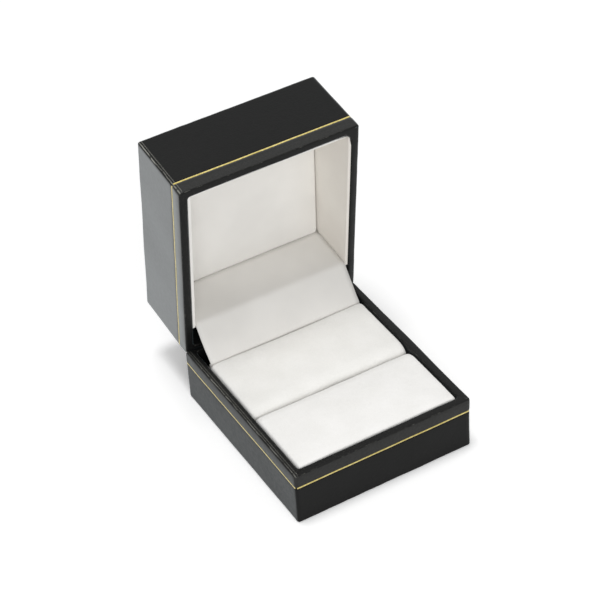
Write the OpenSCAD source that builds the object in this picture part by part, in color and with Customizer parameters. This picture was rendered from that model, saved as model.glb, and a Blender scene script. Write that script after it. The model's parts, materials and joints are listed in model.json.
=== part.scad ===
// Hinged display box for jewellery: a black leatherette case with a gold line,
// a white lined lid that stands open, and two white pad rolls with a slit between them.
// Millimetres. The origin is the centre of the underside, +Z up, front towards -Y,
// +X to the right. The lid is drawn open on its stop.

/* [Overall] */
// Width of the closed box, outside the cover
box_w = 48; // [40:0.5:60]
// Depth of the closed box, outside the cover
box_d = 53.5; // [44:0.5:66]
// Height of the base, from the table to its rim
base_h = 14.7; // [13:0.1:20]
// Height of the lid, from its rim to its top
lid_h = 20.9; // [17:0.1:28]
// How far the lid opens before its back edge stops on the base
open_angle = 83; // [75:1:95]

/* [Shells and cover] */
// Wall of the moulded shells
shell_t = 1.5; // [1.2:0.1:2]
// Thickness of the leatherette cover
cover_t = 0.3; // [0.2:0.05:0.5]
// Radius of the upright corners, outside
corner_r = 0.9; // [0.7:0.1:2]
// Radius of the bottom and top edges, outside
edge_r = 0.8; // [0.6:0.1:1.5]
// How far the cover is turned in over the rim
turn_in = 9; // [8.8:0.1:10]
// How far the cover is turned under the base
turn_under = 6; // [4:0.5:9]
// Gap between the two rims when the lid is shut
rim_gap = 0.2; // [0.1:0.05:0.4]

/* [Gold line] */
// Distance from each rim to the middle of the gold line
line_drop = 3.7; // [3:0.1:6]
// Width of the gold line
line_w = 0.4; // [0.3:0.05:0.8]
// Thickness of the foil
line_t = 0.1; // [0.08:0.01:0.15]
// How deep the foil is pressed into the cover
line_sink = 0.06; // [0.04:0.01:0.1]

/* [Pads] */
// Thickness of the board that carries the pads
board_t = 0.8; // [0.6:0.1:1.5]
// Distance from the box's middle forward to the slit
slit_forward = 3.1; // [0:0.1:5]
// Width of the slit between the two rolls
slit_w = 0.6; // [0.4:0.1:1.5]
// How far the rolls' edges lie below the rim
pad_edge_drop = 0.25; // [0:0.05:1]
// How far the rolls' crown rises above their edges
pad_crown = 1.2; // [0.5:0.1:2]
// Radius of the rolls beside the slit
roll_r = 3.4; // [2:0.1:5]
// How far the rolls' ends draw in beside the slit
roll_pinch = 1; // [0:0.1:2]
// Thickness of the velour over the foam at the sides
velour_t = 0.9; // [0.6:0.1:1.5]
// Room left between soft pieces and their neighbours
soft_gap = 0.2; // [0.1:0.05:0.4]

/* [Lining] */
// Thickness of a lining panel, its card and its white leatherette together
panel_t = 0.7; // [0.5:0.1:1.2]
// Distance from the base's back face to its back lining
back_lining_in = 8; // [7.5:0.1:9]
// Distance from the lid's back face to its back lining
lid_lining_in = 9; // [8.6:0.1:9.6]
// Thickness of the lid's ceiling sheet
ceiling_t = 0.4; // [0.3:0.1:0.8]
// Thickness of the foam behind the lid's ceiling sheet, at the lid's front
ceiling_foam_t = 1.9; // [1:0.1:3]
// How much thicker that foam is at the hinge, so that the ceiling leans
ceiling_lean = 2.7; // [0:0.1:3]
// Thickness of the card board behind the lid's ceiling
ceiling_board_t = 0.8; // [0.5:0.1:1.2]
// Thickness of the flexible lining across the hinge
strip_t = 0.4; // [0.3:0.05:0.6]

/* [Hinge] */
// Radius of the hinge pin
pin_r = 0.45; // [0.4:0.05:0.5]
// Running gap between the pin and each knuckle
pin_gap = 0.05; // [0.03:0.01:0.08]
// Wall of the rolled knuckles
knuckle_t = 0.3; // [0.25:0.05:0.35]
// Thickness of the hinge leaves
leaf_t = 0.4; // [0.3:0.05:0.5]
// Length of the hinge along the back
hinge_w = 26; // [22:0.5:32]
// Length of the lid's knuckle in the middle
mid_knuckle_w = 10; // [8:0.5:12]
// Height of each leaf, from the axis
leaf_h = 8.5; // [8:0.1:8.7]
// Distance of each rivet from the middle
rivet_x = 8; // [7.5:0.1:9]
// Distance of each rivet from the axis
rivet_drop = 6.7; // [6.3:0.1:6.8]
// Radius of a rivet's shank
rivet_r = 0.9; // [0.7:0.05:1]
// Radius of a rivet's head
rivet_head_r = 1.6; // [1.3:0.1:1.6]
// Thickness of a rivet's head
rivet_head_t = 0.45; // [0.3:0.05:0.5]
// Thickness of the snap spring
spring_t = 0.25; // [0.2:0.05:0.3]
// Width of the snap spring's tongue
tongue_w = 9; // [6:0.5:9]

/* [Hidden] */
$fn = 48;

// clearances
fit_gap = 0.05;                                   // hard pieces that don't move
run_gap = 0.2;                                    // hard pieces that move past each other
stop_gap = 0.03;                                  // each back edge, short of the open stop
swing_room = 0.35;                                // round what turns in a notch
past = 1;                                         // how far a cut runs past its surface

// the hinge, in u behind the axis and v above it
bore_r = pin_r + pin_gap;
knuckle_r = bore_r + knuckle_t;
axis_in = knuckle_r + cover_t;                    // from the back face to the axis
axis_y = box_d / 2 - axis_in;
axis_z = base_h + rim_gap / 2;
wall_t = shell_t + 2 * cover_t;                   // a wall with cover on both sides
wall_u = axis_in - wall_t;                        // the wall's inner face
leaf_u = wall_u - leaf_t;                         // the leaf's inner face
spring_u = leaf_u - spring_t;                     // the spring's inner face
cam_lift = 0.3;                                   // how far the lobe bends the spring
cam_flat = -leaf_u - fit_gap;                     // from the axis to the cam's flats
cam_r = cam_flat + cam_lift;                      // from the axis to the cam's lobe
cam_room = cam_r + swing_room;                    // depth of the notch in the base
knuckle_room = knuckle_r + swing_room;            // depth of the notch in the lid
arm_w = -leaf_u - bore_r - fit_gap;               // from a leaf's face to clear of the bore
arm_top = 0.2;                                    // how far a base arm passes the axis
leaf_lap = 0.2;                                   // how far an arm laps over its leaf
side_knuckle_w = (hinge_w - mid_knuckle_w) / 2 - run_gap;
side_knuckle_x = mid_knuckle_w / 2 + run_gap + side_knuckle_w / 2;
pin_past = 0.3;                                   // how far the pin passes the hinge, each end
pin_w = hinge_w + 2 * pin_past;
notch_w = hinge_w + 4 * swing_room;
counterbore_r = rivet_head_r + 2 * fit_gap;
counterbore_t = rivet_head_t + 2 * fit_gap;
bevel = open_angle / 2;                           // slope of the back edges

// the shells' inside
inside_w = box_w - 2 * wall_t;                    // between the turned-in covers
inside_front = -box_d / 2 + wall_t;
inside_r = 0.4;                                   // the shells' upright corners, inside
floor_z = cover_t + shell_t;
lining_y = box_d / 2 - back_lining_in;            // front face of the base's back lining
lid_lining_y = box_d / 2 - lid_lining_in;         // the same in the lid

// the pads
pad_z = floor_z + board_t;
pad_edge_z = base_h - pad_edge_drop;
pad_hx = inside_w / 2 - soft_gap;
slit_y = -slit_forward;
front_y = inside_front + soft_gap;
rear_y = lining_y - soft_gap;
foam_top_z = pad_edge_z - velour_t;
heel_in = 0.25;                                   // how far a roll's foot draws in
heel_h = 1.5;                                     // height of that foot
end_dip = 0.45;                                   // how far a roll's ends dip
pinch_reach = 8;                                  // from the slit to where the ends are full
shoulder_n = 7;                                   // steps over a roll's shoulder
crown_n = 10;                                     // steps over its crown
front_foam_y0 = front_y + velour_t;
front_foam_y1 = slit_y - slit_w / 2 - roll_r / 2 - velour_t;
rear_foam_y0 = slit_y + slit_w / 2 + roll_r / 2 + velour_t;
rear_foam_y1 = rear_y - velour_t;

// the linings, in v from the lid's rim towards its top
lid_top_in = lid_h - cover_t - shell_t;           // the shell's ceiling
ceiling_board_v = lid_top_in - ceiling_board_t;
ceiling_foam_v = ceiling_board_v - ceiling_foam_t;
ceiling_v = ceiling_foam_v - ceiling_t;           // depth of the lid's inside, at the front
panel_x = inside_w / 2 - panel_t;                 // inner face of the side panels
panel_drop = 0.1;                                 // side and front panels, below the rim
back_panel_drop = 0.3;                            // back panels, below the rims
base_panel_top = base_h - back_panel_drop;
strip_x = panel_x - soft_gap / 2;
strip_lap = strip_t / cos(bevel);                 // the strip's thickness along a rim

// ---------------------------------------------------------------- shared shapes

// a rectangle with true round corners
module round_rect(w, d, r) {
    square([w - 2 * r, d], center = true);
    square([w, d - 2 * r], center = true);
    for (x = [-1, 1], y = [-1, 1])
        translate([x * (w / 2 - r), y * (d / 2 - r)]) circle(r = r);
}

// an upright cross-section, w wide and h high, with its two lower corners round
module round_foot(w, h, r) {
    translate([-w / 2, r]) square([w, h - r]);
    translate([-w / 2 + r, 0]) square([w - 2 * r, h]);
    for (x = [-1, 1]) translate([x * (w / 2 - r), r]) circle(r = r);
}

// half the case, its closed end down, h high to its rim and i inside the cover's outside:
// an upright block whose lower edges and upright corners are round
module half_block(h, i) {
    w = box_w - 2 * i;
    d = box_d - 2 * i;
    intersection() {
        translate([0, 0, i]) linear_extrude(h - 2 * i) round_rect(w, d, corner_r - i);
        translate([-box_w / 2, 0, i]) rotate([90, 0, 90])
            linear_extrude(box_w) round_foot(d, h - 2 * i, edge_r - i);
        translate([0, box_d / 2, i]) rotate([90, 0, 0])
            linear_extrude(box_d) round_foot(w, h - 2 * i, edge_r - i);
    }
}

// the wedge that is cut off the back edge of the rim, i inside the cover,
// in a half whose rim is h high
module bevel_wedge(h, i) {
    front = -4 * axis_in;
    far = 4 * axis_in;
    drop = (i + stop_gap) / cos(bevel);
    translate([-box_w, axis_y, h + rim_gap / 2]) rotate([90, 0, 90])
        linear_extrude(2 * box_w) polygon([
            [front, -front * tan(bevel) - drop],
            [far, -far * tan(bevel) - drop],
            [far, -front * tan(bevel)]
        ]);
}

// the half's form, i inside the cover's outside
module half_form(h, i) {
    difference() {
        half_block(h, i);
        bevel_wedge(h, i);
    }
}

// the outline of a shell's hollow, seen from above
module shell_hollow() {
    round_rect(inside_w + 2 * cover_t, box_d - 2 * wall_t + 2 * cover_t, inside_r);
}

// the notch in the back wall for the knuckles, deep below the axis
module hinge_notch(h, deep) {
    translate([-notch_w / 2, axis_y + wall_u - past, h + rim_gap / 2 - deep])
        cube([notch_w, wall_t + 2 * past, deep + past]);
}

// two short bars along Y at the rivets, from u0 to u1 behind the axis
module rivet_bars(h, r, u0, u1) {
    for (x = [-rivet_x, rivet_x])
        translate([x, axis_y + u0, h + rim_gap / 2 - rivet_drop])
            rotate([-90, 0, 0]) cylinder(r = r, h = u1 - u0);
}

// the moulded shell of one half: floor, four walls, notch, and rivet holes with a
// counterbore for the heads under the cover
module shell_half(h, notch_deep) {
    difference() {
        half_form(h, cover_t);
        translate([0, 0, floor_z]) linear_extrude(h) shell_hollow();
        hinge_notch(h, notch_deep);
        rivet_bars(h, rivet_r + fit_gap, wall_u - past, axis_in);
        rivet_bars(h, counterbore_r, axis_in - cover_t - counterbore_t, axis_in + past);
    }
}

// the groove for the gold line, or the foil itself, as a ring round the half
module line_ring(h, sink, proud, w) {
    translate([0, 0, h - line_drop - w / 2]) difference() {
        linear_extrude(w) round_rect(box_w + 2 * proud, box_d + 2 * proud, corner_r + proud);
        translate([0, 0, -past]) linear_extrude(w + 2 * past)
            round_rect(box_w - 2 * sink, box_d - 2 * sink, corner_r - sink);
    }
}

// the leatherette of one half: outside skin, rim, turned-in edge, and a window of
// window_w by window_d in its closed end
module cover_half(h, notch_deep, window_w, window_d) {
    difference() {
        union() {
            difference() {
                half_form(h, 0);
                half_form(h, cover_t);
            }
            // the edge turned in along the shell's inner face
            intersection() {
                half_form(h, 0);
                translate([0, 0, h - turn_in]) linear_extrude(turn_in) shell_hollow();
            }
        }
        translate([0, 0, h - turn_in - past]) linear_extrude(turn_in + 2 * past)
            square([inside_w, box_d - 2 * wall_t], center = true);
        hinge_notch(h, notch_deep);
        rivet_bars(h, rivet_r + fit_gap, wall_u - past, 0);
        line_ring(h, line_sink, past, line_w);
        if (window_w > 0)
            translate([-window_w / 2, -window_d / 2, -past])
                cube([window_w, window_d, cover_t + 2 * past]);
    }
}

// the foil ring itself
module gold_ring(h) {
    line_ring(h, line_sink, line_t - line_sink, line_w);
}

// turns a half that is drawn closed end down into the lid, shut on the base
module as_shut_lid() {
    translate([0, 0, base_h + rim_gap + lid_h]) mirror([0, 0, 1]) children();
}

// swings what is drawn in the shut lid's place to the lid's open place
module as_open_lid() {
    translate([0, axis_y, axis_z]) rotate([-open_angle, 0, 0])
        translate([0, -axis_y, -axis_z]) children();
}

module lid_half() {
    as_open_lid() as_shut_lid() children();
}

// a bar along X from -w/2 to w/2 whose outline is drawn round the hinge axis
module axis_bar(w, x = 0) {
    translate([x - w / 2, axis_y, axis_z]) rotate([90, 0, 90])
        linear_extrude(w) children();
}

// ---------------------------------------------------------------- the base

module base_shell() {
    color("#26262a") shell_half(base_h, cam_room);
}

module base_cover() {
    window_w = box_w - 2 * turn_under;
    window_d = box_d - 2 * turn_under;
    color("#1d1d1c") cover_half(base_h, cam_room, window_w, window_d);
}

module base_gold_line() {
    color("#d8cd8e") gold_ring(base_h);
}

module bottom_sheet() {
    w = box_w - 2 * turn_under - 2 * soft_gap;
    d = box_d - 2 * turn_under - 2 * soft_gap;
    sheet_r = 2;                                  // its corners
    color("#151515") linear_extrude(cover_t) round_rect(w, d, sheet_r);
}

module pad_board() {
    color("#9b8f7c") translate([-pad_hx, front_y, floor_z])
        cube([2 * pad_hx, rear_y - front_y, board_t]);
}

// a roll's outline across its length, as [distance from its slit wall, height]: up the
// slit wall, over the round shoulder and the crown, and down the far wall. u runs from
// -1 to 1 along the roll, whose crown and top edge fall off towards its ends
function end_fall(u) = pow(abs(u), 3);
function roll_top(v, u, len) =
    pad_edge_z - end_dip * pow(end_fall(u), 8)
    + pad_crown * (1 - end_fall(u)) * (1 - end_fall(2 * v / len - 1));
function roll_outline(len, u) = concat(
    [[heel_in, pad_z], [0, pad_z + heel_h]],
    [for (k = [0:shoulder_n])
        let (a = 90 * k / shoulder_n, v = roll_r * (1 - cos(a)))
        [v, roll_top(v, u, len) - roll_r * (1 - sin(a))]],
    [for (k = [1:crown_n])
        let (v = roll_r + (len - roll_r) * k / crown_n)
        [v, roll_top(v, u, len)]],
    [[len, pad_z + heel_h], [len - heel_in, pad_z]]
);
// half the roll's length where it lies v from its slit wall
function roll_half(v) = pad_hx - roll_pinch * pow(max(0, 1 - v / pinch_reach), 2);

module roll(wall_y, far_y) {
    len = abs(far_y - wall_y);
    s = sign(far_y - wall_y);
    stations = [-1, -0.985, -0.95, -0.88, -0.75, -0.6, -0.4, -0.2, 0,
                0.2, 0.4, 0.6, 0.75, 0.88, 0.95, 0.985, 1];
    rings = [for (u = stations)
        [for (p = roll_outline(len, u)) [u * roll_half(p[0]), wall_y + s * p[0], p[1]]]];
    loft(rings, s < 0);
}

// a solid through rings of equally many points, closed at both ends
module loft(rings, flip) {
    n = len(rings[0]);
    m = len(rings);
    points = [for (ring = rings, p = ring) p];
    sides = [for (i = [0:m - 2], j = [0:n - 1])
        let (a = i * n + j, b = i * n + (j + 1) % n, c = a + n, d = b + n)
        each [[a, b, d], [a, d, c]]];
    ends = [for (j = [1:n - 2])
        each [[0, j + 1, j], [(m - 1) * n, (m - 1) * n + j, (m - 1) * n + j + 1]]];
    faces = concat(sides, ends);
    polyhedron(points, flip ? faces : [for (f = faces) [f[0], f[2], f[1]]], convexity = 6);
}

// the foam block inside a roll, from y0 to y1, or the room for it, open at the bottom
module foam_block(y0, y1, below = 0) {
    translate([-pad_hx + velour_t, y0, pad_z - below])
        cube([2 * (pad_hx - velour_t), y1 - y0, foam_top_z - pad_z + below]);
}

module front_foam() {
    color("#e6dcc0") foam_block(front_foam_y0, front_foam_y1);
}

module front_roll() {
    color("#f1f0ee") difference() {
        roll(slit_y - slit_w / 2, front_y);
        foam_block(front_foam_y0, front_foam_y1, past);
    }
}

module rear_foam() {
    color("#e6dcc0") foam_block(rear_foam_y0, rear_foam_y1);
}

module rear_roll() {
    color("#f1f0ee") difference() {
        roll(slit_y + slit_w / 2, rear_y);
        foam_block(rear_foam_y0, rear_foam_y1, past);
    }
}

// the white card behind the rear roll, which hides the hinge
module base_back_panel() {
    color("#e9e7e3") translate([-pad_hx, lining_y, floor_z])
        cube([2 * pad_hx, panel_t, base_panel_top - floor_z]);
}

// where the open lid carries a point that lies u behind the axis and v above it
function opened(u, v) = [
    axis_y + u * cos(open_angle) + v * sin(open_angle),
    axis_z - u * sin(open_angle) + v * cos(open_angle)
];

// the flexible lining across the hinge, from the base's back panel to the lid's,
// pulled straight while the lid is open
module hinge_strip() {
    lid_u = lid_lining_y - axis_y;
    lid_v = rim_gap / 2 + back_panel_drop;
    color("#e9e7e3") translate([-strip_x, 0, 0]) rotate([90, 0, 90])
        linear_extrude(2 * strip_x) polygon([
            [lining_y, base_panel_top],
            [lining_y + strip_lap, base_panel_top],
            opened(lid_u + strip_lap, lid_v),
            opened(lid_u, lid_v)
        ]);
}

// ---------------------------------------------------------------- the hinge

module hinge_bore() {
    axis_bar(hinge_w + 2 * past) circle(r = bore_r);
}

module hinge_base_leaf() {
    color("#c9c3a8") difference() {
        union() {
            axis_bar(hinge_w) translate([leaf_u, -leaf_h]) square([leaf_t, leaf_h - cam_room]);
            for (x = [-side_knuckle_x, side_knuckle_x]) axis_bar(side_knuckle_w, x) {
                circle(r = knuckle_r);
                translate([leaf_u, -cam_room - leaf_lap]) square([leaf_t, cam_room + leaf_lap]);
                translate([leaf_u, -cam_room]) square([arm_w, cam_room + arm_top]);
            }
        }
        hinge_bore();
        rivet_bars(base_h, rivet_r + fit_gap, spring_u - past, 0);
    }
}

// the lid's middle knuckle carries the cam: one flat meets the spring when the lid is
// shut, the other when it is open, and the lobe bends the spring between them
module cam_outline() {
    intersection() {
        circle(r = cam_r);
        translate([-cam_flat, -cam_r]) square([cam_flat + pin_r, 2 * cam_r]);
        rotate(open_angle) translate([-cam_flat, -cam_r])
            square([cam_flat + cam_r, 2 * cam_r]);
        translate([-cam_r, -cam_r]) square([2 * cam_r, cam_r + knuckle_room - run_gap]);
    }
}

module hinge_lid_leaf() {
    color("#c9c3a8") as_open_lid() difference() {
        union() {
            axis_bar(hinge_w) translate([leaf_u, knuckle_room])
                square([leaf_t, leaf_h - knuckle_room]);
            axis_bar(mid_knuckle_w) {
                circle(r = knuckle_r);
                cam_outline();
                translate([-cam_flat, 0])
                    square([leaf_t - fit_gap, knuckle_room + leaf_lap]);
            }
        }
        hinge_bore();
        translate([0, 0, 2 * axis_z]) mirror([0, 0, 1])
            rivet_bars(base_h, rivet_r + fit_gap, leaf_u - past, 0);
    }
}

module hinge_pin() {
    color("#b9b9b9") axis_bar(pin_w) circle(r = pin_r);
}

// one half's rivets: heads under the cover, shanks through wall and leaf, and
// clinched heads on the inner side of what lies at u
module rivet_pair(u) {
    outer = axis_in - cover_t - fit_gap;
    rivet_bars(base_h, rivet_head_r, outer - rivet_head_t, outer);
    rivet_bars(base_h, rivet_r, u, outer);
    rivet_bars(base_h, rivet_head_r, u - rivet_head_t, u);
}

module base_rivets() {
    color("#bdbdbd") rivet_pair(spring_u);
}

module lid_rivets() {
    color("#bdbdbd") as_open_lid()
        translate([0, 0, 2 * axis_z]) mirror([0, 0, 1]) rivet_pair(leaf_u);
}

// the spring: a foot under the base's rivets and a tongue that reaches up to the cam
module snap_spring() {
    foot_past = 0.6;                              // how far the foot passes the rivet heads
    foot_w = 2 * (rivet_x + rivet_head_r + foot_past);
    foot_v = rivet_drop + rivet_head_r;
    tongue_top = 0.6;                             // how far the tongue passes the axis
    color("#9aa0a6") difference() {
        union() {
            axis_bar(foot_w) translate([spring_u, -foot_v])
                square([spring_t, 2 * rivet_head_r]);
            axis_bar(tongue_w) translate([spring_u, -foot_v])
                square([spring_t, foot_v + tongue_top]);
        }
        rivet_bars(base_h, rivet_r + fit_gap, spring_u - past, 0);
    }
}

// ---------------------------------------------------------------- the lid

module lid_shell() {
    color("#26262a") lid_half() shell_half(lid_h, knuckle_room);
}

module lid_cover() {
    color("#1d1d1c") lid_half() cover_half(lid_h, knuckle_room, 0, 0);
}

module lid_gold_line() {
    color("#d8cd8e") lid_half() gold_ring(lid_h);
}

// a panel in the lid, given shut with its rim down: from x0 to x1, y0 to y1, and v0 to
// v1 from the rim towards the top
module lid_slab(x0, x1, y0, y1, v0, v1) {
    lid_half() translate([x0, y0, lid_h - v1]) cube([x1 - x0, y1 - y0, v1 - v0]);
}

module side_panel(x0) {
    lid_slab(x0, x0 + panel_t, inside_front, lid_lining_y + panel_t, panel_drop, lid_top_in);
}

module lid_left_panel() {
    color("#dcdad6") side_panel(-inside_w / 2);
}

module lid_right_panel() {
    color("#d3cfc8") side_panel(panel_x);
}

module lid_front_panel() {
    color("#dcdad6")
        lid_slab(-panel_x, panel_x, inside_front, inside_front + panel_t, panel_drop, lid_top_in);
}

module lid_back_panel() {
    color("#d8d6d2")
        lid_slab(-panel_x, panel_x, lid_lining_y, lid_lining_y + panel_t, back_panel_drop,
            lid_top_in);
}

// one layer of the ceiling, between the panels, from v0 to v1 at the lid's front. near0
// and near1 are how much nearer the rim each side of it lies at the hinge
module ceiling_layer(v0, v1, near0, near1) {
    front = inside_front + panel_t;
    lid_half() translate([-panel_x, 0, lid_h]) rotate([90, 0, 90])
        linear_extrude(2 * panel_x) polygon([
            [front, -v1], [lid_lining_y, near1 - v1], [lid_lining_y, near0 - v0], [front, -v0]
        ]);
}

module ceiling_lining() {
    color("#e2e0dc") ceiling_layer(ceiling_v, ceiling_foam_v, ceiling_lean, ceiling_lean);
}

module ceiling_foam() {
    color("#e6dcc0") ceiling_layer(ceiling_foam_v, ceiling_board_v, ceiling_lean, 0);
}

module ceiling_board() {
    color("#9b8f7c") ceiling_layer(ceiling_board_v, lid_top_in, 0, 0);
}

base_shell();
base_cover();
base_gold_line();
bottom_sheet();
pad_board();
front_foam();
front_roll();
rear_foam();
rear_roll();
base_back_panel();
hinge_base_leaf();
base_rivets();
hinge_pin();
snap_spring();
hinge_strip();
lid_shell();
lid_cover();
lid_gold_line();
ceiling_board();
ceiling_foam();
ceiling_lining();
lid_left_panel();
lid_right_panel();
lid_front_panel();
lid_back_panel();
hinge_lid_leaf();
lid_rivets();
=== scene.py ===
"""A hinged display box for jewellery, standing open: black leatherette with stamped gold
lines, white lining in the lid, and two white velour pads with a slit between them."""

import json
import math
from functools import partial

import bmesh
import bpy
from mathutils import Matrix, Vector, noise


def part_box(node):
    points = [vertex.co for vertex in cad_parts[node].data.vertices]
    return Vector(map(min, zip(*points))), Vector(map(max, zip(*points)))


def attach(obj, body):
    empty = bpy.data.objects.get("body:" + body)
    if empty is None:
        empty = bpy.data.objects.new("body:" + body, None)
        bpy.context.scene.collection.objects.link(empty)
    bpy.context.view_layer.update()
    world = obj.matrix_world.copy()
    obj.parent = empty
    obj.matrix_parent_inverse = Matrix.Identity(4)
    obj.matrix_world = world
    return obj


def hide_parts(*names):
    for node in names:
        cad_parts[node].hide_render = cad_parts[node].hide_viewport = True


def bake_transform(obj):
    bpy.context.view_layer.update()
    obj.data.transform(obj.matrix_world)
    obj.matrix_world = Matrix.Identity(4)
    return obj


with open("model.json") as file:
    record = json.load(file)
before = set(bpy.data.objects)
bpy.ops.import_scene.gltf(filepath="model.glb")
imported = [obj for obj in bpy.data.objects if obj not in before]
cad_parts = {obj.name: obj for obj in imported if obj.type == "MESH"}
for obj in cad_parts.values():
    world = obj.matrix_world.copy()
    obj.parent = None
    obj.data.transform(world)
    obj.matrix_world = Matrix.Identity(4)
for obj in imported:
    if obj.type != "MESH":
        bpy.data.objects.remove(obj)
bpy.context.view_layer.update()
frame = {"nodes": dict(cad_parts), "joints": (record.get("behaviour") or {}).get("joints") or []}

# ------------------------------------------------------------------ sizes, in millimetres
# Pieces are modelled in millimetres, with the origin, axes and lid position of the frame,
# and are scaled to metres when they are finished. +Z is up and the front faces -Y.

MM = 0.001


def box_mm(node_name):
    """A CAD node's lowest and highest corner."""
    low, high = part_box(node_name)
    return low / MM, high / MM


hinge = frame["joints"][0]
axis = Vector(hinge["pos_m"]) / MM
open_angle = math.radians(hinge["range_deg"][1])
half_open = open_angle / 2

cover_low, cover_high = box_mm("base_cover")
box_w = cover_high.x - cover_low.x
box_d = cover_high.y - cover_low.y
base_h = cover_high.z
rim_gap = 2 * (axis.z - base_h)
lid_h = 20.9

shell_t = 1.5
cover_t = 0.3
wall_t = shell_t + 2 * cover_t
corner_r = 0.7                 # upright corners
edge_r = 0.55                  # edges of the closed end
rim_out_r = 0.55               # rim, where it meets the outside
rim_in_r = 0.38                # rim, where the cover turns in
inner_corner_r = 0.8           # upright corners of the opening
loose_corner_r = 2.4           # the lid's front right one, where the cover isn't pushed home
turn_in = 9.0
turn_under = 6.0
stop_gap = 0.005

line_drop = 3.7                # from the rim to the middle of the gold line
line_w = 0.4
line_t = 0.06
line_sink = 0.08               # how deep the stamp pressed the cover
press_fades = 0.45             # how far beside the line the cover rises again
band_swell = 0.10              # how far the cover swells between the line and the rim

notch_floor_z = 12.8
cam_room = axis.z - notch_floor_z        # depth of the hinge's notch in the base, from the axis
knuckle_room = 1.15            # the same in the lid
notch_w = 27.4

inside_x = box_w / 2 - wall_t
inside_front = -box_d / 2 + wall_t
panel_t = 0.7
panel_x = inside_x - panel_t
panel_drop = 0.1
back_panel_drop = 0.3
lining_y = box_d / 2 - 8       # front face of the base's back card
lid_lining_y = box_d / 2 - 9   # the same in the lid
ceiling_v = 16.0               # the ceiling's depth below the lid's rim, at the front
ceiling_lean = 2.7             # how much nearer the rim it is at the hinge
ceiling_board_t = 0.8
lid_floor_v = lid_h - cover_t - shell_t

lining_t = 0.22                # the flexible lining across the hinge
strip_x = panel_x - 0.08       # half its width

pad_crown = 0.75               # how far a pad's crown rises before it swells
swell_steps = 20               # of the cloth solver
SIM = 10 * MM                  # millimetres to the size at which the pads swell


# ------------------------------------------------------------------ colour and nodes

def srgb(hex_colour):
    """An sRGB hex value as the linear colour that a socket takes."""
    parts = [int(hex_colour[k:k + 2], 16) / 255 for k in (1, 3, 5)]
    linear = [c / 12.92 if c <= 0.04045 else ((c + 0.055) / 1.055) ** 2.4 for c in parts]
    return (*linear, 1.0)


def node(tree, kind, feeds=(), **settings):
    """Adds a node. settings are its own properties. feeds is for its input sockets, by name
    or in order: each gets a value, a node's output, or a node, whose first output is meant.
    Only the sockets that the settings leave in use are counted."""
    made = tree.nodes.new("ShaderNode" + kind)
    for key, value in settings.items():
        setattr(made, key, value)
    live = [socket for socket in made.inputs if socket.enabled]
    names = [socket.name for socket in live]
    for key, feed in feeds.items() if isinstance(feeds, dict) else enumerate(feeds):
        socket = live[names.index(key) if isinstance(key, str) else key]
        if isinstance(feed, bpy.types.Node):
            feed = next(output for output in feed.outputs if output.enabled)
        if isinstance(feed, bpy.types.NodeSocket):
            tree.links.new(feed, socket)
        else:
            socket.default_value = feed
    return made


def new_material(name):
    """A material with no nodes, and node() for its tree."""
    material = bpy.data.materials.new(name)
    material.use_nodes = True
    material.node_tree.nodes.clear()
    return material, partial(node, material.node_tree)


def per(size):
    """A texture's scale for a pattern whose grains are that many millimetres wide."""
    return 1 / (size * MM)


# ------------------------------------------------------------------ materials

# What the leatherette carries at each of its points: how sharply it is folded, how far along
# the edge that is, how rubbed and lit the band by the rim is (painted highlight with rubbing),
# how many crack lines and painted glints it gets, how strongly its crease's painted highlight
# lines show, and how far in from the left side that is.
marks = ("fold", "run", "rub_and_highlight", "wear_and_glint", "crease_highlight", "inward")


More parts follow.
